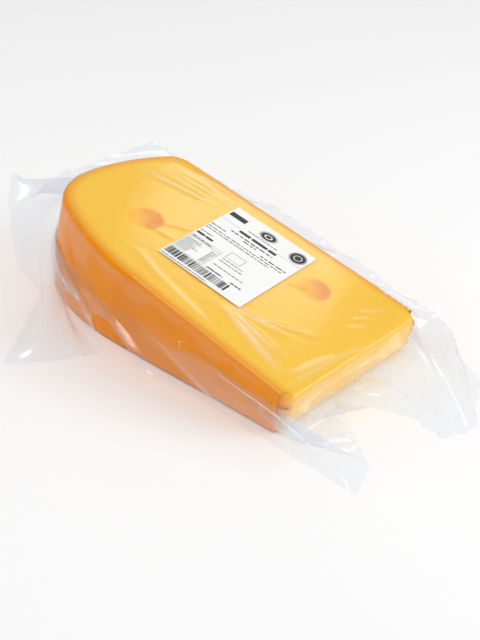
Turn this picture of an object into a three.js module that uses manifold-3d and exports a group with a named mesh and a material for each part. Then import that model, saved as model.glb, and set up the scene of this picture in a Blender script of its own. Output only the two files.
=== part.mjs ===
// A wedge of hard cheese with large eyes, cut from a big wheel and packed flat in a clear vacuum pouch.
// The wedge lies on one of its two radial cuts. +X runs from the heel (the wheel's rim) to the thin tip,
// +Y runs across the wheel's thickness and +Z is up. The origin is the bottom centre of the whole part.
import * as THREE from 'three';
import { mergeVertices } from 'three/addons/utils/BufferGeometryUtils.js';
import Module from 'manifold-3d';

const wasm = await Module();
wasm.setup();

// Driving dimensions, in millimetres. Radii run from the wheel's axis, which lies along Y.
const WHEEL_RADIUS = 427;
const FRONT_FACE = { atAxis: -87, shoulderRadius: 320, atShoulder: -79 };
const BACK_FACE = { atAxis: 90, shoulderRadius: 388, atShoulder: 77 };
const RIM_CROWN_Y = -16;
const WEDGE_ANGLE = THREE.MathUtils.degToRad(12.06);
const WEDGE_LENGTH = 250;
const AXIS_BEYOND_TIP = 159;
const FILM = 0.4;
const GAP = 0.3;
const FLANGE_LIFT = FILM + GAP;
const LABEL = { along: 80, across: 100, thick: 0.25, corner: 2, radius: 283, y: 12, turn: 0.034 };
const EYES = [
  { radius: 356, y: -16, ball: 17, depth: 7.5 },
  { radius: 223.5, y: 32.5, ball: 16.5, depth: 7 },
];
const TIP_NOTCH = { y: 10, ball: 10, depth: 3 };
const SIDE_DENT = { x: 68, y: -82, z: 16, ball: 12, depth: 2 };
const CURL_START = -146;
const CURL_RUN = 73;
const CURL_HEIGHT = 60;
const EAR_CURL = { startX: 142, runX: 60, startY: -14, runY: 40, height: 26 };
const GRID = 12;

const AXIS_X = WEDGE_LENGTH / 2 + AXIS_BEYOND_TIP;
const TIP_RADIUS = AXIS_BEYOND_TIP * Math.cos(WEDGE_ANGLE);
const WEDGE_BOTTOM = FLANGE_LIFT;
const BELOW = 10;
const FAR = 220;

// Turns a closed three.js geometry into a solid for cutting and joining.
function toSolid(geometry) {
  const bare = geometry.clone();
  bare.deleteAttribute('normal');
  bare.deleteAttribute('uv');
  const merged = mergeVertices(bare, 1e-4);
  const index = Array.from(merged.index.array);
  const triangles = [];
  for (let i = 0; i < index.length; i += 3) {
    const [a, b, c] = index.slice(i, i + 3);
    if (a !== b && b !== c && c !== a) triangles.push(a, b, c);
  }
  return new wasm.Manifold(new wasm.Mesh({
    numProp: 3,
    vertProperties: new Float32Array(merged.attributes.position.array),
    triVerts: new Uint32Array(triangles),
  }));
}

function toGeometry(solid) {
  const mesh = solid.getMesh();
  const geometry = new THREE.BufferGeometry();
  geometry.setAttribute('position', new THREE.BufferAttribute(new Float32Array(mesh.vertProperties), 3));
  geometry.setIndex(new THREE.BufferAttribute(new Uint32Array(mesh.triVerts), 1));
  geometry.computeVertexNormals();
  return geometry;
}

// A point of the wedge's upper cut face, at a radius from the wheel's axis, raised along the face's normal.
function onTopFace(radius, y, raised) {
  const x = AXIS_X - radius * Math.cos(WEDGE_ANGLE) + raised * Math.sin(WEDGE_ANGLE);
  const z = radius * Math.sin(WEDGE_ANGLE) + raised * Math.cos(WEDGE_ANGLE);
  return new THREE.Vector3(x, y, z + WEDGE_BOTTOM);
}

// The whole wheel as a turned solid, grown outwards by a small offset.
function wheel(grow) {
  const path = new THREE.Path();
  path.moveTo(0, FRONT_FACE.atAxis);
  path.lineTo(FRONT_FACE.shoulderRadius, FRONT_FACE.atShoulder);
  path.quadraticCurveTo(368, -76, 405, -56);
  path.quadraticCurveTo(425, -44, WHEEL_RADIUS, RIM_CROWN_Y);
  path.quadraticCurveTo(WHEEL_RADIUS, 24, 410, 62);
  path.quadraticCurveTo(405, BACK_FACE.atShoulder, BACK_FACE.shoulderRadius, BACK_FACE.atShoulder);
  path.lineTo(0, BACK_FACE.atAxis);
  const points = path.getPoints(8);
  const grown = points.map((point, i) => {
    const before = points[Math.max(i - 1, 0)];
    const after = points[Math.min(i + 1, points.length - 1)];
    const along = new THREE.Vector2().subVectors(after, before).normalize();
    return new THREE.Vector2(point.x + along.y * grow, point.y - along.x * grow);
  });
  grown[0].x = 0;
  grown[grown.length - 1].x = 0;
  return toSolid(new THREE.LatheGeometry(grown, 96).translate(AXIS_X, 0, WEDGE_BOTTOM));
}

// An upright prism of an outline drawn in the X-Z plane, deep enough to span the wheel.
function crossPrism(points) {
  const geometry = new THREE.ExtrudeGeometry(new THREE.Shape(points), { depth: 2 * FAR, bevelEnabled: false });
  return toSolid(geometry.translate(0, 0, -FAR).rotateX(Math.PI / 2));
}

// A ball-shaped hollow in a surface, smaller for the film that lines it.
function hollow(point, normal, ball, depth, grow) {
  const centre = point.clone().addScaledVector(normal, ball - depth);
  return toSolid(new THREE.SphereGeometry(ball - grow, 40, 28).translate(...centre.toArray()));
}

// The wedge, grown by an offset, with its underside at the given height.
function wedge(grow, underside) {
  const top = onTopFace(TIP_RADIUS - grow, 0, grow);
  const heel = onTopFace(AXIS_X + FAR, 0, grow);
  const run = (top.z - underside) * Math.tan(WEDGE_ANGLE);
  const slice = crossPrism([
    new THREE.Vector2(top.x - run, underside),
    new THREE.Vector2(top.x, top.z),
    new THREE.Vector2(heel.x, heel.z),
    new THREE.Vector2(heel.x, underside),
  ]);
  const up = new THREE.Vector3(Math.sin(WEDGE_ANGLE), 0, Math.cos(WEDGE_ANGLE));
  let body = wheel(grow).intersect(slice);
  for (const eye of EYES) {
    body = body.subtract(hollow(onTopFace(eye.radius, eye.y, 0), up, eye.ball, eye.depth, grow));
  }
  const edge = new THREE.Vector3(Math.cos(WEDGE_ANGLE), 0, -Math.sin(WEDGE_ANGLE)).add(up).normalize();
  const notch = onTopFace(TIP_RADIUS, TIP_NOTCH.y, 0);
  body = body.subtract(hollow(notch, edge, TIP_NOTCH.ball, TIP_NOTCH.depth, grow));
  const dent = new THREE.Vector3(SIDE_DENT.x, SIDE_DENT.y, SIDE_DENT.z);
  return body.subtract(hollow(dent, new THREE.Vector3(0, -1, 0), SIDE_DENT.ball, SIDE_DENT.depth, grow));
}

// The edge of the flattened pouch around the wedge: four corner ears with the slack between them.
function pouchOutline() {
  const shape = new THREE.Shape();
  shape.moveTo(-72, -158);
  shape.lineTo(-24, -98);
  shape.quadraticCurveTo(30, -91, 98, -92);
  shape.lineTo(205, -99);
  shape.lineTo(191, -66);
  shape.quadraticCurveTo(158, -44, 141, -20);
  shape.quadraticCurveTo(158, -6, 175, -2);
  shape.lineTo(222, -6);
  shape.lineTo(224, 17);
  shape.lineTo(207, 45);
  shape.quadraticCurveTo(160, 76, 136, 97);
  shape.quadraticCurveTo(40, 106, -80, 108);
  shape.quadraticCurveTo(-150, 112, -197, 144);
  shape.quadraticCurveTo(-212, 60, -219, -17);
  shape.lineTo(-165, -66);
  shape.lineTo(-130, -68);
  return shape;
}

function smoothStep(from, run, value) {
  return THREE.MathUtils.smoothstep(value, Math.min(from, from + run), Math.max(from, from + run));
}

// How far the pouch's rim curls up off the surface it lies on.
function curl(x, y) {
  const heelEnd = CURL_HEIGHT * smoothStep(0, CURL_RUN, CURL_START - x);
  const ear = EAR_CURL;
  const tipEar = ear.height * smoothStep(0, ear.runX, x - ear.startX) * smoothStep(0, ear.runY, y - ear.startY);
  return heelEnd + tipEar;
}

// A flat grid given a thickness, with the same triangles above and below so that stacked sheets stay apart.
function thickGrid(width, depth, across, along) {
  const plane = new THREE.PlaneGeometry(width, depth, across, along);
  const flat = plane.attributes.position;
  const faces = Array.from(plane.index.array);
  const points = [];
  for (const level of [FILM, 0]) {
    for (let i = 0; i < flat.count; i += 1) points.push(flat.getX(i), flat.getY(i), level);
  }
  const triangles = [...faces];
  for (let i = 0; i < faces.length; i += 3) {
    triangles.push(faces[i + 2] + flat.count, faces[i + 1] + flat.count, faces[i] + flat.count);
  }
  const row = across + 1;
  const rim = [];
  for (let i = 0; i < across; i += 1) rim.push(i);
  for (let j = 0; j < along; j += 1) rim.push(j * row + across);
  for (let i = across; i > 0; i -= 1) rim.push(along * row + i);
  for (let j = along; j > 0; j -= 1) rim.push(j * row);
  rim.forEach((a, k) => {
    const b = rim[(k + 1) % rim.length];
    triangles.push(a, b, b + flat.count, a, b + flat.count, a + flat.count);
  });
  const geometry = new THREE.BufferGeometry();
  geometry.setAttribute('position', new THREE.Float32BufferAttribute(points, 3));
  geometry.setIndex(triangles);
  return geometry;
}

// A thin sheet of the pouch's outline that lies flat under the wedge and follows the curled rim.
function rimSheet(lift) {
  const outline = pouchOutline();
  const box = new THREE.Box2().setFromPoints(outline.getPoints(12));
  const size = box.getSize(new THREE.Vector2()).addScalar(2 * GRID);
  const centre = box.getCenter(new THREE.Vector2());
  const cells = [Math.round(size.x / GRID), Math.round(size.y / GRID)];
  const sheet = thickGrid(size.x, size.y, ...cells).translate(centre.x, centre.y, lift);
  const position = sheet.attributes.position;
  for (let i = 0; i < position.count; i += 1) {
    position.setZ(i, position.getZ(i) + curl(position.getX(i), position.getY(i)));
  }
  const cutter = new THREE.ExtrudeGeometry(outline, { depth: FAR, bevelEnabled: false, curveSegments: 8 });
  return toSolid(sheet).intersect(toSolid(cutter.translate(0, 0, -BELOW)));
}

function upperFilm() {
  const inner = wedge(GAP, -BELOW);
  const skin = wedge(GAP + FILM, FLANGE_LIFT).subtract(inner);
  return toGeometry(skin.add(rimSheet(FLANGE_LIFT)).subtract(inner));
}

function lowerFilm() {
  return toGeometry(rimSheet(0));
}

// A paper sticker with rounded corners, flat before it is laid on the top face.
function label() {
  const [w, h, r] = [LABEL.along / 2, LABEL.across / 2, LABEL.corner];
  const shape = new THREE.Shape();
  shape.moveTo(-w + r, -h);
  shape.lineTo(w - r, -h);
  shape.absarc(w - r, -h + r, r, -Math.PI / 2, 0);
  shape.absarc(w - r, h - r, r, 0, Math.PI / 2);
  shape.absarc(-w + r, h - r, r, Math.PI / 2, Math.PI);
  shape.absarc(-w + r, -h + r, r, Math.PI, 1.5 * Math.PI);
  return new THREE.ExtrudeGeometry(shape, { depth: LABEL.thick, bevelEnabled: false, curveSegments: 4 });
}

function material(color, roughness, opacity = 1) {
  return new THREE.MeshStandardMaterial({ color, roughness, metalness: 0, opacity, transparent: opacity < 1 });
}

function named(name, geometry, finish) {
  const mesh = new THREE.Mesh(geometry, finish);
  mesh.name = name;
  return mesh;
}

const pack = new THREE.Group();
pack.add(named('cheese_wedge', toGeometry(wedge(0, WEDGE_BOTTOM)), material(0xf2b04a, 0.5)));
pack.add(named('upper_film', upperFilm(), material(0xeef0f4, 0.12, 0.25)));
pack.add(named('lower_film', lowerFilm(), material(0xeef0f4, 0.12, 0.25)));

const sticker = named('label', label(), material(0xf7f6f2, 0.6));
sticker.position.copy(onTopFace(LABEL.radius, LABEL.y, FILM + 2 * GAP));
sticker.rotation.set(0, WEDGE_ANGLE, LABEL.turn, 'YXZ');
pack.add(sticker);

const bounds = new THREE.Box3().setFromObject(pack);
const middle = bounds.getCenter(new THREE.Vector3());
pack.position.set(-middle.x, -middle.y, -bounds.min.z);

const group = new THREE.Group();
group.name = 'cheese_block';
group.add(pack);
export default group;
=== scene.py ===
"""A wedge of large-eyed hard cheese in a clear vacuum pouch with a plain sticker, built around the frame.

Lengths are in metres. The wedge's own frame has X from the heel to the tip, Y across the wheel's thickness
and Z up, with its origin at the middle of the base. place() moves that frame into the row's frame.
"""
import math
import random

import bmesh
import bpy
import numpy as np
from mathutils import Matrix, Vector


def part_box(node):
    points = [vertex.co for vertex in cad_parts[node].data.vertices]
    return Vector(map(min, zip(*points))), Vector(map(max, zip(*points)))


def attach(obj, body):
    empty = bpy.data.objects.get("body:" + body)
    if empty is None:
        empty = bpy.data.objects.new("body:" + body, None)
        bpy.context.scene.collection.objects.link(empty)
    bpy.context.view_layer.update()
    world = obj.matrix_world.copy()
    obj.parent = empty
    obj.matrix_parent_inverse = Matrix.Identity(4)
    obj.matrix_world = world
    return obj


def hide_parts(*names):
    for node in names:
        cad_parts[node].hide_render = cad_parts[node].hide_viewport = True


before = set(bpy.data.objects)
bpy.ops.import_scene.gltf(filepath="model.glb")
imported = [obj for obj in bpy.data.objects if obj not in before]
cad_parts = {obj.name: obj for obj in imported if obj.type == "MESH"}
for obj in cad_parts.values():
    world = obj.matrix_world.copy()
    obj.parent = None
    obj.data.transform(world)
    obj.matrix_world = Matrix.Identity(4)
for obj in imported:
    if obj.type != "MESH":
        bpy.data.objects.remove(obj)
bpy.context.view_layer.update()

# The wheel that the wedge was cut from, and the cuts. Radii run from the wheel's axis, which lies along Y.
WHEEL_RADIUS = 0.427
WEDGE_ANGLE = math.radians(12.06)
WEDGE_LENGTH = 0.250
AXIS_BEYOND_TIP = 0.159
AXIS_X = WEDGE_LENGTH / 2 + AXIS_BEYOND_TIP
TIP_RADIUS = AXIS_BEYOND_TIP * math.cos(WEDGE_ANGLE)
TOP_NORMAL = np.array([math.sin(WEDGE_ANGLE), 0, math.cos(WEDGE_ANGLE)])
EDGE_ROUNDING = 0.0045
HOLLOW_BLEND = 0.0013
# Each eye: radius on the top face, Y, ball radius, depth. The nick at the tip is given the same way.
EYES = ((0.356, -0.016, 0.0150, 0.0090), (0.2235, 0.0325, 0.0146, 0.0084))
TIP_NOTCH = (0.1555, 0.010, 0.010, 0.0030)
# The dent in the front face: X, Y, Z, ball radius, depth.
SIDE_DENT = (0.068, -0.082, 0.0155, 0.012, 0.0020)

# The pouch film.
FILM_STANDOFF = 0.0006
UPPER_CLEARANCE = 0.00055
LOWER_CLEARANCE = 0.00025
LOWEST_FILM = -0.0004
COARSE_STEP = 0.007
POUCH_X = (-0.261, 0.205)
POUCH_Y = (-0.134, 0.166)
# The film is let out across at the heel by this share, growing from the first X over the second length.
MOUTH_FLARE = 0.37
MOUTH_FLARE_RUN = (-0.165, 0.09)
# How the two films meet, the floor and the wedge while the air is drawn out.
CLOSING_GAP = 0.0035
OPEN_GAP = 0.004
FLOOR_HEIGHTS = (0.00035, 0.00015)
SPEED_KEPT = 0.92
SPEED_KEPT_ON_WEDGE = 0.6
SPEED_KEPT_ON_FLOOR = 0.5
# More film layers than this in front of a point turn milky.
CLEAR_LAYERS = 6.5

# The sticker, in the top face's own plane.
LABEL_SIZE = (0.080, 0.100)
LABEL_RADIUS = 0.283
LABEL_Y = 0.012
LABEL_TURN = 0.034
LABEL_LIFT = 0.0011
LABEL_THICKNESS = 0.00018
PRINT_LIFT = 0.00003
PRINT_THICKNESS = 0.00005

# The middle of the wedge's box lies this far along Y from its own origin.
WEDGE_OFF_CENTRE = 0.0004
wedge_low, wedge_high = (Vector(corner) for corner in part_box("cheese_wedge"))
WEDGE_ORIGIN = np.array([
    wedge_low.x + WHEEL_RADIUS - AXIS_X,
    (wedge_low.y + wedge_high.y) / 2 - WEDGE_OFF_CENTRE,
    wedge_low.z,
])


def place(points):
    """Points of the wedge's own frame, in the row's frame."""
    return np.asarray(points, float) + WEDGE_ORIGIN


# ---------------------------------------------------------------- the shape of the wedge

def arc(start, control, end, count):
    t = np.linspace(0, 1, count)[1:, None]
    start, control, end = (np.array(p) for p in (start, control, end))
    return (1 - t) ** 2 * start + 2 * t * (1 - t) * control + t * t * end


def wheel_profile():
    """Half section of the wheel, as (radius, Y): front face, rounded shoulder, crowned rim, back face."""
    return np.concatenate([
        [(0.0, -0.087), (0.320, -0.079)],
        arc((0.320, -0.079), (0.368, -0.076), (0.405, -0.056), 8),
        arc((0.405, -0.056), (0.425, -0.044), (WHEEL_RADIUS, -0.016), 8),
        arc((WHEEL_RADIUS, -0.016), (WHEEL_RADIUS, 0.024), (0.410, 0.062), 8),
        arc((0.410, 0.062), (0.405, 0.077), (0.388, 0.077), 8),
        [(0.0, 0.090)],
    ])


PROFILE = wheel_profile()


def profile_distance(r, y):
    """Signed distance to the wheel's half section, negative inside."""
    nearest = np.full(r.shape, 1e9)
    inside = np.zeros(r.shape, bool)
    for (ar, ay), (br, by) in zip(PROFILE[:-1], PROFILE[1:]):
        er, ey = br - ar, by - ay
        wr, wy = r - ar, y - ay
        t = np.clip((wr * er + wy * ey) / (er * er + ey * ey), 0, 1)
        nearest = np.minimum(nearest, (wr - t * er) ** 2 + (wy - t * ey) ** 2)
        crossing = ar + wy * er / (ey or 1e-12)
        inside ^= ((ay > y) != (by > y)) & (r < crossing)
    return np.where(inside, -1, 1) * np.sqrt(nearest)


def rounded_join(distances, rounding):
    raised = np.stack(distances, 0) + rounding
    return np.minimum(raised.max(0), 0) + np.sqrt((np.maximum(raised, 0) ** 2).sum(0)) - rounding


def smooth_max(a, b, blend):
    h = np.clip(0.5 + 0.5 * (a - b) / blend, 0, 1)
    return b + (a - b) * h + blend * h * (1 - h)


def on_top_face(radius, y, raised=0.0):
    """A point of the upper cut, at a radius from the wheel's axis, raised along the face's normal."""
    c, s = math.cos(WEDGE_ANGLE), math.sin(WEDGE_ANGLE)
    return np.stack(np.broadcast_arrays(AXIS_X - radius * c + raised * s, y, radius * s + raised * c), -1)


def hollows():
    """Centre and radius of each ball that opens the wedge's surface."""
    balls = [(on_top_face(r, y, ball - depth), ball) for r, y, ball, depth in EYES]
    r, y, ball, depth = TIP_NOTCH
    balls.append((on_top_face(r, y) + (ball - depth) * np.array([0.87, 0, 0.5]), ball))
    x, y, z, ball, depth = SIDE_DENT
    balls.append((np.array([x, y - (ball - depth), z]), ball))
    return balls


HOLLOWS = hollows()


def face_distances(points):
    """Signed distances to the base cut, the top cut, the tip cut and the wheel's own skin."""
    x, y, z = points[..., 0] - AXIS_X, points[..., 1], points[..., 2]
    c, s = math.cos(WEDGE_ANGLE), math.sin(WEDGE_ANGLE)
    return [-z, x * s + z * c, TIP_RADIUS - (z * s - x * c), profile_distance(np.hypot(x, z), y)]


def wedge_distance(points):
    d = rounded_join(face_distances(points), EDGE_ROUNDING)
    for centre, ball in HOLLOWS:
        d = smooth_max(d, ball - np.linalg.norm(points - centre, axis=-1), HOLLOW_BLEND)
    return d


def gradient(points, step=0.0002):
    here = wedge_distance(points)
    slopes = [(wedge_distance(points + step * axis) - here) / step for axis in np.eye(3)]
    return here, np.stack(slopes, -1)


# ---------------------------------------------------------------- small mesh helpers

def add_object(name, vertices, faces, material, smooth=True):
    mesh = bpy.data.meshes.new(name)
    mesh.from_pydata(np.asarray(vertices).tolist(), [], [list(map(int, f)) for f in faces])
    mesh.polygons.foreach_set("use_smooth", [smooth] * len(mesh.polygons))
    mesh.validate()
    mesh.update()
    obj = bpy.data.objects.new(name, mesh)
    bpy.context.scene.collection.objects.link(obj)
    mesh.materials.append(material)
    return obj


def add_mask(obj, name, values):
    layer = obj.data.attributes.new(name, "FLOAT", "POINT")
    layer.data.foreach_set("value", np.asarray(values, np.float32))


def thin_shell(top, thickness_normal):
    """A closed thin body from a grid of points and the full-thickness offset at each of them."""
    rows, columns = top.shape[:2]
    count = rows * columns
    index = np.arange(count).reshape(rows, columns)
    quads = np.stack([index[:-1, :-1], index[:-1, 1:], index[1:, 1:], index[1:, :-1]], -1).reshape(-1, 4)
    rim = np.concatenate([index[0, :-1], index[:-1, -1], index[-1, :0:-1], index[:0:-1, 0]])
    after = np.roll(rim, -1)
    walls = np.stack([rim, rim + count, after + count, after], -1)
    vertices = np.concatenate([top.reshape(-1, 3), (top - thickness_normal).reshape(-1, 3)])
    return vertices, np.concatenate([quads, quads[:, ::-1] + count, walls])


# ---------------------------------------------------------------- the pouch, simulated

# Where each edge of the pouch ends up, in millimetres, with how far along the edge each point is.
FRONT_EDGE = (
    (-72, -158, 0.3, 0), (-46, -125, 0.3, 42), (-24, -97, 0.6, 79), (-52, -91, 30, 120), (-92, -78, 25, 162),
    (-52, -93, 32, 204), (-11, -92, 23, 246), (4, -94, 4, 270), (24, -92, 0.6, 290), (60, -90, 0.4, 326),
    (98, -91, 0.4, 364), (172, -96, 0.4, 438), (205, -98, 0.4, 466),
)
HEEL_EDGE = (
    (-72, -158, 0.3, 0), (-124, -69, 3, 107), (-149, -71, 15, 135), (-197, -40, 42, 198),
    (-210, -25, 65, 228), (-182, -32, 52, 258), (-185, -16, 62, 275), (-180, 22, 63, 315),
    (-179, 122, 58, 410),
)
TIP_EDGE = (
    (205, -98, 0.4, 0), (196, -70, 4, 31), (154, -38, 3, 88), (133, -24, 3, 114), (152, -8, 1.5, 140),
    (178, 3, 0.5, 170), (222, -5, 1, 220), (225, 17, 4, 245), (204, 57, 18, 300),
)
BACK_EDGE = (
    (-179, 122, 58, 0), (-100, 135, 40, 92), (-60, 142, 34, 138), (-2, 137, 28, 200), (70, 129, 18, 280),
    (105, 123, 15, 320), (128, 113, 20, 350), (153, 98, 22, 385), (173, 70, 25, 425), (204, 57, 18, 466),
)


class NearField:
    """Distance to the wedge and its direction, looked up in a grid."""

    def __init__(self, low, high, cell):
        self.low, self.cell = np.array(low), cell
        axes = [np.arange(a, b + cell, cell) for a, b in zip(low, high)]
        grid = np.stack(np.meshgrid(*axes, indexing="ij"), -1)
        d = wedge_distance(grid)
        slope = np.stack(np.gradient(d, cell), -1)
        slope /= np.maximum(np.linalg.norm(slope, axis=-1, keepdims=True), 1e-9)
        self.size = np.array(d.shape)
        self.table = np.concatenate([d[..., None], slope], -1).reshape(-1, 4)

    def __call__(self, points):
        i = np.clip(np.rint((points - self.low) / self.cell).astype(np.int64), 0, self.size - 1)
        row = self.table[(i[..., 0] * self.size[1] + i[..., 1]) * self.size[2] + i[..., 2]]
        off = points - (self.low + i * self.cell)
        return row[..., 0] + (off * row[..., 1:]).sum(-1), row[..., 1:]


def pull(a, b, rest, stretched, squeezed):
    """Moves two sets of points so that their links come nearer their rest length."""
    d = b - a
    length = np.sqrt(np.einsum("...k,...k->...", d, d)) + 1e-12
    error = 1 - rest / length
    d *= (0.5 * np.where(error > 0, error * stretched, error * squeezed))[..., None]
    a += d
    b -= d


def keep_lengths(films, step_x, step_y):
    diagonal = np.hypot(step_x, 0.5 * (step_y[:, 1:] + step_y[:, :-1]))
    for s in (0, 1):
        n = (films.shape[2] - s) // 2 * 2
        pull(films[:, :, s:s + n:2], films[:, :, s + 1:s + n:2], step_x, 1, 1)
        n = (films.shape[1] - s) // 2 * 2
        even, odd = films[:, s:s + n:2], films[:, s + 1:s + n:2]
        pull(even, odd, step_y, 1, 1)
        pull(even[:, :, :-1], odd[:, :, 1:], diagonal, 0.8, 0.5)
        pull(even[:, :, 1:], odd[:, :, :-1], diagonal, 0.8, 0.5)


def keep_flat(films, step_x, step_y, stiffness):
    """Bending: points two apart push each other away."""
    for s in (0, 1, 2, 3):
        a = np.arange(s, films.shape[2] - 2, 4)
        left, right = films[:, :, a], films[:, :, a + 2]
        pull(left, right, 2 * step_x, 0.15 * stiffness, stiffness)
        films[:, :, a], films[:, :, a + 2] = left, right
        a = np.arange(s, films.shape[1] - 2, 4)
        left, right = films[:, a], films[:, a + 2]
        pull(left, right, 2 * step_y, 0.15 * stiffness, stiffness)
        films[:, a], films[:, a + 2] = left, right


def grid_normals(sheet):
    return unit(np.cross(np.gradient(sheet, axis=1), np.gradient(sheet, axis=0)))


def unit(v):
    return v / (np.sqrt((v ** 2).sum(-1, keepdims=True)) + 1e-12)


def weld_rims(films):
    for rim in ((slice(None), 0), (slice(None), -1), (0, slice(None)), (-1, slice(None))):
        films[0][rim] = films[1][rim] = 0.5 * (films[0][rim] + films[1][rim])


def edge_targets(points, count):
    p = np.array(points, float)
    along = np.linspace(0, p[-1, 3], count)
    return np.stack([np.interp(along, p[:, 3], p[:, k]) for k in range(3)], -1) / 1000


def draw_down(films, step_x, step_y, near, steps, inner, pressure, weight, hold, stiffness):
    """Draws the air out: the films press on the wedge and each other while the pouch's edges are led home."""
    rows, columns = films.shape[1:3]
    edges = (
        ((0, slice(None)), edge_targets(FRONT_EDGE, columns)),
        ((slice(None), 0), edge_targets(HEEL_EDGE, rows)),
        ((slice(None), -1), edge_targets(TIP_EDGE, rows)),
        ((-1, slice(None)), edge_targets(BACK_EDGE, columns)),
    )
    floor = np.array(FLOOR_HEIGHTS)[:, None, None]
    speed = np.zeros_like(films)
    for step in range(steps):
        share = step / max(steps - 1, 1)
        normal = [grid_normals(films[0]), grid_normals(films[1])]
        open_share = np.clip(np.linalg.norm(films[0] - films[1], axis=-1) / OPEN_GAP, 0, 1)[..., None]
        before = films.copy()
        films += speed
        films[0] -= normal[0] * pressure * open_share
        films[1] += normal[1] * pressure * open_share
        films[..., 2] -= weight
        for _ in range(inner):
            keep_lengths(films, step_x, step_y)
            keep_flat(films, step_x, step_y, stiffness)
            for rim, target in edges:
                films[(slice(None), *rim)] += (target - films[(slice(None), *rim)]) * hold(share)
            weld_rims(films)
            between = unit(normal[0] + normal[1])
            gap = films[0] - films[1]
            shut = (np.linalg.norm(gap, axis=-1) < CLOSING_GAP) | ((gap * between).sum(-1) < 0)
            shut[0] = shut[-1] = shut[:, 0] = shut[:, -1] = False
            middle = 0.5 * (films[0] + films[1])
            half = 0.5 * FILM_STANDOFF * between
            films[0] = np.where(shut[..., None], middle + half, films[0])
            films[1] = np.where(shut[..., None], middle - half, films[1])
            distance, away = near(films)
            push = np.maximum(FILM_STANDOFF - distance, 0)
            films += push[..., None] * away
            low = films[..., 2] < floor
            films[..., 2] = np.where(low, floor, films[..., 2])
        speed = (films - before) * SPEED_KEPT
        speed[push > 0] *= SPEED_KEPT_ON_WEDGE
        speed[low, :2] *= SPEED_KEPT_ON_FLOOR
    return films


def ease(films, near, passes):
    """Smooths the finest crumples, most where the film stands free and a little where it hugs the wedge."""
    for _ in range(passes):
        free = np.clip(0.2 + (near(films)[0] - 0.002) / 0.010, 0.2, 0.6)[..., None]
        around = films[:, :-2, 1:-1] + films[:, 2:, 1:-1] + films[:, 1:-1, :-2] + films[:, 1:-1, 2:]
        films[:, 1:-1, 1:-1] += (around / 4 - films[:, 1:-1, 1:-1]) * free[:, 1:-1, 1:-1]


def flat_pouch(step):
    """The two films before the air is drawn out, bowed apart over the wedge."""
    columns = int(round((POUCH_X[1] - POUCH_X[0]) / step / 2)) * 2 + 1
    rows = int(round((POUCH_Y[1] - POUCH_Y[0]) / step / 2)) * 2 + 1
    x, y = np.meshgrid(np.linspace(*POUCH_X, columns), np.linspace(*POUCH_Y, rows))
    soft = 0.05
    over_x = np.clip(np.minimum(x + 0.150, 0.140 - x) / soft + 1, 0, 1)
    over_y = np.clip(np.minimum(y + 0.090, 0.092 - y) / soft + 1, 0, 1)
    top = (AXIS_X - x) * math.tan(WEDGE_ANGLE) + 0.004
    films = np.empty((2, rows, columns, 3))
    films[..., 0], films[..., 1] = x, y
    films[0, ..., 2] = top / 2 * (1 + over_x * over_y)
    films[1, ..., 2] = top / 2 * (1 - over_x * over_y)
    weld_rims(films)
    return films


def steps_of(films):
    rows, columns = films.shape[1:3]
    x = np.linspace(*POUCH_X, columns)
    flare = 1 + MOUTH_FLARE * np.clip((MOUTH_FLARE_RUN[0] - x) / MOUTH_FLARE_RUN[1], 0, 1) ** 1.5
    return (POUCH_X[1] - POUCH_X[0]) / (columns - 1), (POUCH_Y[1] - POUCH_Y[0]) / (rows - 1) * flare[None, :]


def finer(films):
    """Twice as many points each way, on a smooth curve through the ones there are."""
    for axis in (1, 2):
        films = np.moveaxis(films, axis, 0)
        padded = np.concatenate([2 * films[:1] - films[1:2], films, 2 * films[-1:] - films[-2:-1]])
        middle = (9 * (padded[1:-2] + padded[2:-1]) - padded[:-3] - padded[3:]) / 16
        both = np.empty((2 * len(films) - 1, *films.shape[1:]))
        both[::2], both[1::2] = films, middle
        films = np.moveaxis(both, 0, axis)
    return films


def lead_in(share):
    """How hard the edges are led home, by the share of the steps already taken."""
    return 0.0 if share < 0.1 else min(0.25, 0.5 * (share - 0.1))


def steady_hold(share):
    return 0.12


def vacuum_pouch():
    near = NearField((-0.16, -0.10, -0.006), (0.15, 0.106, 0.104), 0.002)
    films = flat_pouch(COARSE_STEP)
    films = draw_down(films, *steps_of(films), near, 240, 4, 0.00008, 0.000003, lead_in, 0.2)
    films = finer(films)
    films = draw_down(films, *steps_of(films), near, 110, 3, 0.00007, 0.000002, steady_hold, 0.16)
    ease(films, near, 14)
    return finer(films)


# ---------------------------------------------------------------- materials

def new_material(name):
    material = bpy.data.materials.new(name)
    material.use_nodes = True
    nodes, links = material.node_tree.nodes, material.node_tree.links
    nodes.clear()
    output = nodes.new("ShaderNodeOutputMaterial")
    return material, nodes, links, output


def group_sockets(group, inputs, outputs):
    for name, kind, value in inputs:
        socket = group.interface.new_socket(name, in_out="INPUT", socket_type=kind)
        socket.default_value = value
    for name, kind in outputs:
        group.interface.new_socket(name, in_out="OUTPUT", socket_type=kind)


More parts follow.
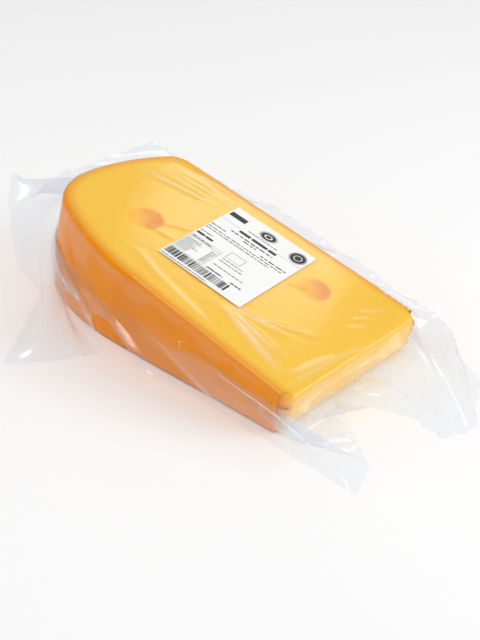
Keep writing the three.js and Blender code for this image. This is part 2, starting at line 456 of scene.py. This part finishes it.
def mottle_group():
    """Soft uneven tone: a slow and a fine noise, as one value about the middle."""
    group = bpy.data.node_groups.new("soft_mottle", "ShaderNodeTree")
    group_sockets(group, [("Scale", "NodeSocketFloat", 20.0), ("Fine Share", "NodeSocketFloat", 0.3)],
                  [("Value", "NodeSocketFloat")])
    nodes, links = group.nodes, group.links
    enter, leave = nodes.new("NodeGroupInput"), nodes.new("NodeGroupOutput")
    coordinates = nodes.new("ShaderNodeTexCoord")
    slow, fine = nodes.new("ShaderNodeTexNoise"), nodes.new("ShaderNodeTexNoise")
    for noise, detail in ((slow, 3.0), (fine, 6.0)):
        noise.inputs["Detail"].default_value = detail
        links.new(coordinates.outputs["Object"], noise.inputs["Vector"])
    times = nodes.new("ShaderNodeMath")
    times.operation = "MULTIPLY"
    times.inputs[1].default_value = 7.0
    links.new(enter.outputs["Scale"], slow.inputs["Scale"])
    links.new(enter.outputs["Scale"], times.inputs[0])
    links.new(times.outputs[0], fine.inputs["Scale"])
    mix = nodes.new("ShaderNodeMix")
    links.new(enter.outputs["Fine Share"], mix.inputs["Factor"])
    links.new(slow.outputs["Fac"], mix.inputs["A"])
    links.new(fine.outputs["Fac"], mix.inputs["B"])
    links.new(mix.outputs["Result"], leave.inputs["Value"])
    return group


MOTTLE = mottle_group()


def mottle(nodes, scale, fine_share):
    node = nodes.new("ShaderNodeGroup")
    node.node_tree = MOTTLE
    node.inputs["Scale"].default_value = scale
    node.inputs["Fine Share"].default_value = fine_share
    return node.outputs["Value"]


def attribute(nodes, name):
    node = nodes.new("ShaderNodeAttribute")
    node.attribute_name = name
    return node.outputs["Fac"]


def blend_colour(nodes, links, factor, a, b):
    mix = nodes.new("ShaderNodeMix")
    mix.data_type = "RGBA"
    for socket, value in ((mix.inputs["Factor"], factor), (mix.inputs[6], a), (mix.inputs[7], b)):
        if isinstance(value, bpy.types.NodeSocket):
            links.new(value, socket)
        else:
            socket.default_value = value
    return mix.outputs[2]


def map_range(nodes, links, value, low, high, to_low=0.0, to_high=1.0):
    node = nodes.new("ShaderNodeMapRange")
    links.new(value, node.inputs["Value"])
    for name, number in (("From Min", low), ("From Max", high), ("To Min", to_low), ("To Max", to_high)):
        node.inputs[name].default_value = number
    return node.outputs["Result"]


def maths(nodes, links, operation, a, b=0.0):
    node = nodes.new("ShaderNodeMath")
    node.operation = operation
    for socket, value in zip(node.inputs, (a, b)):
        if isinstance(value, bpy.types.NodeSocket):
            links.new(value, socket)
        else:
            socket.default_value = value
    return node.outputs[0]


def bump(nodes, links, height, strength, distance):
    node = nodes.new("ShaderNodeBump")
    node.inputs["Strength"].default_value = strength
    node.inputs["Distance"].default_value = distance
    links.new(height, node.inputs["Height"])
    return node.outputs["Normal"]


def cheese_material():
    material, nodes, links, output = new_material("aged_cheese")
    body = nodes.new("ShaderNodeBsdfPrincipled")
    tone = mottle(nodes, 14.0, 0.25)
    cut = blend_colour(nodes, links, tone, (0.94, 0.50, 0.020, 1), (0.98, 0.60, 0.055, 1))
    rind = blend_colour(nodes, links, tone, (0.76, 0.20, 0.000, 1), (0.96, 0.33, 0.000, 1))
    colour = blend_colour(nodes, links, attribute(nodes, "rind"), cut, rind)
    band = map_range(nodes, links, attribute(nodes, "rind_band"), 0, 1, 0, 0.5)
    colour = blend_colour(nodes, links, band, colour, (0.80, 0.27, 0.015, 1))
    # Eye hollows: a slightly deeper tone over each hollow, with painted shade growing onto the wall that
    # faces away from the key softbox.
    eye = map_range(nodes, links, attribute(nodes, "eye"), 0, 1, 0, 0.85)
    colour = blend_colour(nodes, links, eye, colour, (0.84, 0.23, 0.000, 1))
    links.new(colour, body.inputs["Base Color"])
    links.new(map_range(nodes, links, tone, 0.3, 0.7, 0.40, 0.55), body.inputs["Roughness"])
    body.inputs["Specular IOR Level"].default_value = 0.12
    body.inputs["Subsurface Weight"].default_value = 0.2
    body.inputs["Subsurface Radius"].default_value = (1.0, 0.45, 0.12)
    body.inputs["Subsurface Scale"].default_value = 0.006
    grain = mottle(nodes, 90.0, 0.6)
    links.new(bump(nodes, links, grain, 0.25, 0.0006), body.inputs["Normal"])
    links.new(body.outputs[0], output.inputs["Surface"])
    return material


def film_material(name):
    """Clear film, glossier at grazing angles, and milky by its haze mask or behind many layers of film. Along
    the creases of the upper film the mask paints sheen.
    """
    material, nodes, links, output = new_material(name)
    clear = nodes.new("ShaderNodeBsdfTransparent")
    clear.inputs["Color"].default_value = (0.962, 0.972, 0.985, 1)
    shine = nodes.new("ShaderNodeBsdfGlossy")
    shine.inputs["Color"].default_value = (1, 1, 1, 1)
    facing = nodes.new("ShaderNodeLayerWeight")
    facing.inputs["Blend"].default_value = 0.5
    haze_and_sheen = nodes.new("ShaderNodeBsdfPrincipled")
    haze_and_sheen.inputs["Base Color"].default_value = (0.84, 0.89, 0.98, 1)
    haze_and_sheen.inputs["Roughness"].default_value = 0.35
    creases = mottle(nodes, 30.0, 0.5)
    links.new(map_range(nodes, links, creases, 0.3, 0.7, 0.07, 0.16), shine.inputs["Roughness"])
    normal = bump(nodes, links, creases, 0.3, 0.0007)
    for shader in (shine, haze_and_sheen, facing):
        links.new(normal, shader.inputs["Normal"])
    gloss = nodes.new("ShaderNodeMixShader")
    grazing = maths(nodes, links, "POWER", facing.outputs["Facing"], 4.0)
    links.new(map_range(nodes, links, grazing, 0, 1, 0.022, 0.5), gloss.inputs["Fac"])
    links.new(clear.outputs[0], gloss.inputs[1])
    links.new(shine.outputs[0], gloss.inputs[2])
    uneven = map_range(nodes, links, creases, 0.3, 0.7, 0.6, 1.2)
    # The haze mask is milky film, and along the upper film's creases it also paints sheen in place of softbox
    # reflections.
    milky_and_sheen = maths(nodes, links, "MULTIPLY", attribute(nodes, "haze_and_sheen"), uneven)
    # Cycles stops after eight see-through layers and leaves black, so film behind many layers is milky.
    # Which film that is depends on the view.
    light_path = nodes.new("ShaderNodeLightPath")
    layers = light_path.outputs["Transparent Depth"]
    many_layers = maths(nodes, links, "GREATER_THAN", layers, CLEAR_LAYERS)
    mixed = nodes.new("ShaderNodeMixShader")
    links.new(maths(nodes, links, "MAXIMUM", milky_and_sheen, many_layers), mixed.inputs["Fac"])
    links.new(gloss.outputs[0], mixed.inputs[1])
    links.new(haze_and_sheen.outputs[0], mixed.inputs[2])
    links.new(mixed.outputs[0], output.inputs["Surface"])
    return material


def paper_material():
    material, nodes, links, output = new_material("sticker_paper")
    body = nodes.new("ShaderNodeBsdfPrincipled")
    tone = mottle(nodes, 60.0, 0.5)
    colour = blend_colour(nodes, links, tone, (0.90, 0.90, 0.89, 1), (0.95, 0.95, 0.94, 1))
    links.new(colour, body.inputs["Base Color"])
    links.new(map_range(nodes, links, tone, 0.3, 0.7, 0.5, 0.65), body.inputs["Roughness"])
    links.new(bump(nodes, links, mottle(nodes, 900.0, 0.5), 0.1, 0.0001), body.inputs["Normal"])
    links.new(body.outputs[0], output.inputs["Surface"])
    return material


def ink_material():
    material, nodes, links, output = new_material("thermal_print")
    body = nodes.new("ShaderNodeBsdfPrincipled")
    tone = mottle(nodes, 300.0, 0.7)
    colour = blend_colour(nodes, links, tone, (0.010, 0.010, 0.012, 1), (0.05, 0.05, 0.055, 1))
    links.new(colour, body.inputs["Base Color"])
    links.new(map_range(nodes, links, tone, 0.3, 0.7, 0.5, 0.7), body.inputs["Roughness"])
    links.new(body.outputs[0], output.inputs["Surface"])
    return material


def floor_material():
    material, nodes, links, output = new_material("pale_floor")
    body = nodes.new("ShaderNodeBsdfPrincipled")
    body.inputs["Roughness"].default_value = 0.6
    tone = mottle(nodes, 3.0, 0.2)
    colour = blend_colour(nodes, links, tone, (0.96, 0.96, 0.96, 1), (0.98, 0.98, 0.98, 1))
    links.new(colour, body.inputs["Base Color"])
    links.new(body.outputs[0], output.inputs["Surface"])
    return material


# ---------------------------------------------------------------- the pieces

def build_cheese():
    """A fine box grid drawn onto the wedge's rounded surface, with masks for the rind and the eye hollows;
    the hollows' mask carries painted shade.
    """
    bm = bmesh.new()
    bmesh.ops.create_cube(bm, size=1)
    bmesh.ops.subdivide_edges(bm, edges=bm.edges, cuts=110, use_grid_fill=True)
    unit_box = np.array([v.co for v in bm.verts])
    x = unit_box[:, 0] * 0.262 - 0.008
    top_height = (AXIS_X - x) * math.tan(WEDGE_ANGLE)
    points = np.stack([x, unit_box[:, 1] * 0.158, (unit_box[:, 2] + 0.5) * top_height], -1)
    for _ in range(9):
        distance, slope = gradient(points)
        points -= 0.85 * distance[:, None] * slope / np.maximum((slope ** 2).sum(-1, keepdims=True), 0.5)
    faces = [[v.index for v in f.verts] for f in bm.faces]
    bm.free()
    _, slope = gradient(points)
    normal = unit(slope)
    x, y, z = points.T
    wave = np.sin(x * 61 + 1.3 * np.sin(y * 47)) * np.sin(y * 53 + z * 38) * 0.00022
    knife = np.sin(x * 420 + 3 * np.sin(y * 30)) * 0.00003
    base, top, tip, skin = face_distances(points)
    on_skin = np.clip((skin + 0.0055) / 0.0035, 0, 1)
    on_cut = np.maximum.reduce([np.clip((d + 0.002) / 0.002, 0, 1) for d in (base, top, tip)])
    points = points + normal * (wave + knife * on_cut)[:, None]
    cheese = add_object("cheese", place(points), faces, cheese_material())
    add_mask(cheese, "rind", on_skin * np.clip(1.15 - 0.75 * on_cut, 0, 1))
    add_mask(cheese, "rind_band", np.clip((skin + 0.011) / 0.006, 0, 1) * on_cut)
    # Each hollow gets a slight deeper tone, and painted shade grows onto its wall on the +X+Y side, which
    # faces away from the key softbox.
    eye_tone_and_shade_mask = np.zeros(len(points))
    for centre, ball in HOLLOWS:
        off = points - centre
        inside = np.clip((ball + 0.0012 - np.linalg.norm(off, axis=-1)) / 0.0018, 0, 1)
        painted_shade_far_wall = np.clip(0.5 + (0.8 * off[:, 0] + 0.6 * off[:, 1]) / (1.1 * ball), 0, 1)
        eye_tone_and_shade_mask = np.maximum(eye_tone_and_shade_mask, inside * (0.15 + 0.85 * painted_shade_far_wall ** 1.5))
    add_mask(cheese, "eye", eye_tone_and_shade_mask)
    return cheese


def build_film(name, sheet, winding, haze_and_sheen):
    """One film as a single surface, with its haze mask, which on the upper film also paints sheen along the
    creases. It casts no shadow and diffuse light passes it by.
    """
    rows, columns = sheet.shape[:2]
    index = np.arange(rows * columns).reshape(rows, columns)
    quads = np.stack([index[:-1, :-1], index[:-1, 1:], index[1:, 1:], index[1:, :-1]], -1).reshape(-1, 4)
    film = add_object(name, place(sheet).reshape(-1, 3), quads[:, ::winding], film_material(name + "_clear"))
    add_mask(film, "haze_and_sheen", np.clip(haze_and_sheen.reshape(-1), 0, 1))
    film.visible_shadow = False
    film.visible_diffuse = False
    return film


def label_point(u, v, lift):
    """u runs along the wedge, v across it, both from the sticker's middle."""
    c, s = math.cos(LABEL_TURN), math.sin(LABEL_TURN)
    return on_top_face(LABEL_RADIUS - (u * c - v * s), LABEL_Y + u * s + v * c, lift)


def build_label():
    columns, rows = 33, 41
    along, across = np.linspace(-0.5, 0.5, columns), np.linspace(-0.5, 0.5, rows)
    u, v = np.meshgrid(along * LABEL_SIZE[0], across * LABEL_SIZE[1])
    edge = 0.0006 * ((np.abs(u) / LABEL_SIZE[0] * 2) ** 8 + (np.abs(v) / LABEL_SIZE[1] * 2) ** 8) / 2
    top = label_point(u, v, LABEL_LIFT + LABEL_THICKNESS - edge * 0.3)
    vertices, faces = thin_shell(place(top), np.broadcast_to(TOP_NORMAL * LABEL_THICKNESS, top.shape))
    return add_object("sticker", vertices, faces, paper_material(), smooth=False)


def print_marks():
    """Plain marks as (left, right, near, far), in millimetres from the sticker's back corner at the heel."""
    rng = random.Random(7)
    marks = [(1.5, 17.5, 8.6, 14.4)]

    def text(left, right, y, height, density=0.72):
        """A row of plain dashes."""
        x = left
        while x < right:
            word = rng.uniform(1.6, 5.2) * height
            marks.append((x, min(x + word, right), y - height / 2, y + height / 2))
            x += word + height * rng.uniform(0.5, 1.0) / density

    def box(left, right, near, far, line):
        marks.extend([(left, right, near, near + line), (left, right, far - line, far),
                      (left, left + line, near, far), (right - line, right, near, far)])

    text(25.5, 54, 19.1, 0.9)
    marks.extend([(1.7, 20, 22.0, 22.2), (57.5, 78.8, 22.0, 22.2)])
    text(21, 57.7, 25.0, 3.0, 1.4)
    text(16.5, 57.7, 30.2, 1.3)
    text(31, 44, 33.3, 1.2)
    text(0.8, 16, 35.6, 1.0)
    text(51, 75.7, 36.5, 1.3)
    text(0.8, 73.7, 39.8, 1.0)
    text(0.8, 63.5, 43.0, 1.0)
    text(1.2, 13, 49.8, 1.0)
    text(1.3, 17, 54.5, 2.6, 1.4)
    box(1.2, 31, 59.5, 85, 0.25)
    marks.append((1.2, 31, 62.6, 62.9))
    text(2.4, 22, 61.2, 1.2)
    for row in range(8):
        text(2.4, 2.4 + rng.uniform(9, 16), 66.0 + row * 2.3, 0.9)
        text(25, 29.8, 66.0 + row * 2.3, 0.9)
    box(35, 49.5, 52, 61.4, 0.35)
    text(35, 54.3, 64.3, 0.9)
    text(35, 56.5, 68.2, 0.9)
    text(35, 63.5, 75.6, 0.9)
    text(34.5, 50, 83.2, 1.5, 1.3)
    text(58, 67.7, 83.2, 1.5, 1.3)
    x = 1.5
    while x < 60.5:
        bar = rng.choice((0.45, 0.45, 0.9, 1.8))
        marks.append((x, min(x + bar, 60.7), 86.2, 95.3))
        x += bar + rng.choice((0.45, 0.5, 1.0))
    text(1.5, 45.7, 98.2, 0.8)
    return marks


def ring(centre_x, centre_y, radius_x, radius_y, inner, count=40):
    """A flat ring, or a filled disc where inner is 0, as quads in millimetres on the sticker."""
    turn = np.linspace(0, 2 * math.pi, count + 1)
    quads = []
    for a, b in zip(turn[:-1], turn[1:]):
        corners = ((a, 1), (b, 1), (b, inner), (a, inner))
        quads.append([
            (centre_x + radius_x * k * math.cos(t), centre_y + radius_y * k * math.sin(t)) for t, k in corners
        ])
    return quads


def build_print():
    quads = [[(a, c), (b, c), (b, d), (a, d)] for a, b, c, d in print_marks()]
    quads += ring(39.8, 11.2, 8.1, 5.9, 0.93) + ring(39.8, 11.2, 6.9, 4.8, 0.55)
    quads += ring(39.8, 11.2, 2.6, 1.8, 0.0)
    quads += ring(70.6, 12.8, 7.6, 7.6, 0.94) + ring(70.6, 12.8, 6.6, 6.6, 0.56)
    quads += ring(70.6, 12.8, 3.0, 3.0, 0.0)
    vertices, faces = [], []
    for quad in quads:
        start = len(vertices)
        points = [label_point(x / 1000 - LABEL_SIZE[0] / 2, LABEL_SIZE[1] / 2 - y / 1000,
                              LABEL_LIFT + LABEL_THICKNESS + PRINT_LIFT) for x, y in quad]
        vertices += points + [p - TOP_NORMAL * PRINT_THICKNESS for p in points]
        faces += [[start + 3, start + 2, start + 1, start], [start + 4, start + 5, start + 6, start + 7]]
        faces += [[start + k, start + (k + 1) % 4, start + (k + 1) % 4 + 4, start + k + 4] for k in range(4)]
    return add_object("sticker_print", place(np.array(vertices)), faces, ink_material(), smooth=False)


# Creases of the upper film on the top face: start and end as (radius, Y), half width and height.
CREASES = (
    ((0.405, 0.030), (0.335, 0.046), 0.0030, 0.0007), ((0.398, 0.050), (0.330, 0.058), 0.0022, 0.0006),
    ((0.392, 0.062), (0.322, 0.064), 0.0024, 0.0006), ((0.345, -0.010), (0.318, 0.010), 0.0012, 0.0005),
    ((0.348, -0.022), (0.322, -0.016), 0.0012, 0.0005), ((0.240, 0.020), (0.225, 0.028), 0.0012, 0.0005),
    ((0.243, -0.040), (0.200, -0.030), 0.0024, 0.0008), ((0.245, -0.043), (0.190, -0.052), 0.0028, 0.0009),
    ((0.248, -0.046), (0.176, -0.066), 0.0032, 0.0009), ((0.232, -0.036), (0.186, -0.012), 0.0020, 0.0006),
    ((0.172, -0.060), (0.164, -0.010), 0.0018, 0.0007), ((0.166, -0.070), (0.160, 0.020), 0.0016, 0.0006),
    ((0.178, 0.020), (0.170, 0.034), 0.0011, 0.0006), ((0.182, 0.030), (0.173, 0.046), 0.0011, 0.0006),
    ((0.184, 0.042), (0.174, 0.060), 0.0012, 0.0006), ((0.300, -0.060), (0.240, -0.070), 0.0020, 0.0005),
    ((0.330, -0.052), (0.285, -0.064), 0.0018, 0.0005),
)


def crease_lift(points):
    x, z = points[..., 0] - AXIS_X, points[..., 2]
    radius = -x * math.cos(WEDGE_ANGLE) + z * math.sin(WEDGE_ANGLE)
    spot = np.stack([radius, points[..., 1]], -1)
    lift = np.zeros(spot.shape[:-1])
    for start, end, width, height in CREASES:
        a, b = np.array(start), np.array(end)
        t = ((spot - a) @ (b - a)) / ((b - a) @ (b - a))
        off = np.linalg.norm(spot - a - np.clip(t, 0, 1)[..., None] * (b - a), axis=-1)
        taper = np.clip(np.sin(math.pi * np.clip(0.08 + 0.92 * t, 0, 1)), 0.15, 1)
        lift = np.maximum(lift, height * taper * np.exp(-(off / width) ** 2))
    return lift, spot


def under_label(spot):
    u, v = LABEL_RADIUS - spot[..., 0], spot[..., 1] - LABEL_Y
    c, s = math.cos(LABEL_TURN), math.sin(LABEL_TURN)
    along, across = u * c + v * s, -u * s + v * c
    margin = np.maximum(np.abs(along) - LABEL_SIZE[0] / 2, np.abs(across) - LABEL_SIZE[1] / 2)
    return np.clip(1 - margin / 0.004, 0, 1)


def finish_upper(sheet):
    """Creases on the top face, a flat seat under the sticker, and the film kept off the wedge."""
    lift, spot = crease_lift(sheet)
    top = face_distances(sheet)[1]
    on_top = np.clip((top + 0.004) / 0.003, 0, 1) * np.clip((0.012 - top) / 0.004, 0, 1)
    flat = under_label(spot) * on_top
    lift = lift * on_top * (1 - flat)
    sheet = sheet + TOP_NORMAL * (lift + flat * (FILM_STANDOFF - top))[..., None]
    return sheet, lift


def air_patches(sheet):
    """Paler bands on the front of the rind, under the top edge and low down, set by formula; the dip near X =
    -0.078 is a painted highlight.
    """
    x, y, z = sheet[..., 0], sheet[..., 1], sheet[..., 2]
    height = z / np.maximum((AXIS_X - x) * math.tan(WEDGE_ANGLE), 0.01)
    # Painted highlight: the upper pale band is pulled down at one spot near X = -0.078.
    painted_highlight_dip = 0.35 * np.exp(-((x + 0.078) / 0.009) ** 2)
    rise = 0.35 * np.clip((x - 0.06) / 0.05, 0, 1)
    upper_edge = 0.80 + 0.06 * np.sin(x * 75) + 0.05 * np.sin(x * 171 + 1) - painted_highlight_dip
    lower_edge = 0.30 + 0.07 * np.sin(x * 62 + 2) + 0.04 * np.sin(x * 190) + rise
    band = np.clip((height - upper_edge) / 0.05, 0, 1) + np.clip((lower_edge - height) / 0.05, 0, 1)
    return np.clip(band, 0, 1) * np.clip((-y - 0.02) / 0.02, 0, 1)


def build_pouch():
    films = vacuum_pouch()
    upper, lift = finish_upper(films[0])
    lower = films[1]
    gaps = []
    for sheet, least in ((upper, UPPER_CLEARANCE), (lower, LOWER_CLEARANCE)):
        for _ in range(4):
            distance, slope = gradient(sheet, 0.0003)
            sheet += np.maximum(least - distance, 0)[..., None] * unit(slope)
        gaps.append(distance)
    on_top = np.clip((face_distances(upper)[1] + 0.004) / 0.003, 0, 1)
    x, z = upper[..., 0], upper[..., 2]
    before_tip = np.clip((x - 0.121) / 0.010, 0, 1) * np.clip((0.172 - x) / 0.03, 0, 1)
    before_tip *= np.clip((0.034 - z) / 0.022, 0, 1) * np.clip((0.10 - np.abs(upper[..., 1])) / 0.02, 0, 1)
    standing_free = np.clip((gaps[0] - 0.004) / 0.010, 0, 1)
    # Haze where the film stands free and before the tip face; along the creases, 330 × lift gives whitish
    # streaks that are partly milky creased film and partly painted sheen in place of softbox reflections.
    upper_haze_and_sheen = 0.09 * standing_free * (1 - on_top) + 330 * lift + 0.45 * before_tip
    close_by = np.clip((0.004 - gaps[0]) / 0.002, 0, 1)
    upper_haze_and_sheen = upper_haze_and_sheen + 0.05 * air_patches(upper) * (1 - on_top) * close_by
    haze_lower = 0.05 * np.clip((gaps[1] - 0.004) / 0.010, 0, 1)
    for sheet in (upper, lower):
        sheet[..., 2] = np.maximum(sheet[..., 2], LOWEST_FILM)
    return (
        build_film("film_over", upper, 1, upper_haze_and_sheen),
        build_film("film_under", lower, -1, haze_lower),
    )


# ---------------------------------------------------------------- camera, light and floor

CAMERA_TURN = math.radians(37.107)
CAMERA_RISE = math.radians(31.5)
CAMERA_ROLL = math.radians(4.95)
CAMERA_DISTANCE = 1.075
CAMERA_LENS = 76.6
CAMERA_SHIFT = 0.0266
CAMERA_AIM = (0.0004, 0.0083, 0)


def add_camera():
    turn, rise, roll = CAMERA_TURN, CAMERA_RISE, CAMERA_ROLL
    back = Vector((math.sin(turn) * math.cos(rise), -math.cos(turn) * math.cos(rise), math.sin(rise)))
    right = Vector((math.cos(turn), math.sin(turn), 0))
    up = back.cross(right)
    side = right * math.cos(roll) + up * math.sin(roll)
    head = up * math.cos(roll) - right * math.sin(roll)
    camera = bpy.data.objects.new("camera", bpy.data.cameras.new("camera"))
    camera.data.lens = CAMERA_LENS
    camera.data.sensor_width = 36
    camera.data.shift_x = CAMERA_SHIFT
    aim = Vector(place(CAMERA_AIM))
    turned = Matrix((side, head, back)).transposed().to_4x4()
    camera.matrix_world = Matrix.Translation(aim + back * CAMERA_DISTANCE) @ turned
    bpy.context.scene.collection.objects.link(camera)
    bpy.context.scene.camera = camera


def add_softbox(name, where, width, height, power):
    lamp = bpy.data.lights.new(name, "AREA")
    lamp.shape = "RECTANGLE"
    lamp.size, lamp.size_y, lamp.energy = width, height, power
    obj = bpy.data.objects.new(name, lamp)
    obj.location = where
    obj.rotation_euler = (Vector((0, 0, 0.03)) - Vector(where)).to_track_quat("-Z", "Y").to_euler()
    bpy.context.scene.collection.objects.link(obj)


def add_stage():
    corners = [(-4, -4, 0), (4, -4, 0), (4, 4, 0), (-4, 4, 0)]
    floor = add_object("floor", corners, [(0, 1, 2, 3)], floor_material())
    world = bpy.data.worlds.new("studio")
    world.use_nodes = True
    world.node_tree.nodes["Background"].inputs["Color"].default_value = (1, 1, 1, 1)
    world.node_tree.nodes["Background"].inputs["Strength"].default_value = 0.68
    bpy.context.scene.world = world
    add_softbox("key_softbox", (1.10, 0.75, 0.60), 0.80, 0.60, 6.5)
    add_softbox("back_softbox", (-0.45, 1.15, 1.05), 0.40, 0.25, 1.2)
    add_softbox("edge_softbox", (-0.15, -0.55, 1.30), 0.80, 0.10, 3.5)
    add_softbox("left_softbox", (-1.20, -0.50, 0.70), 0.15, 0.60, 0.8)
    bpy.context.scene.view_settings.view_transform = "Standard"


add_camera()
add_stage()
cheese = build_cheese()
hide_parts("cheese_wedge")
film_over, film_under = build_pouch()
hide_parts("upper_film")
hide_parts("lower_film")
sticker = build_label()
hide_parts("label")
sticker_print = build_print()
for piece in (cheese, film_over, film_under, sticker, sticker_print):
    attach(piece, "root")
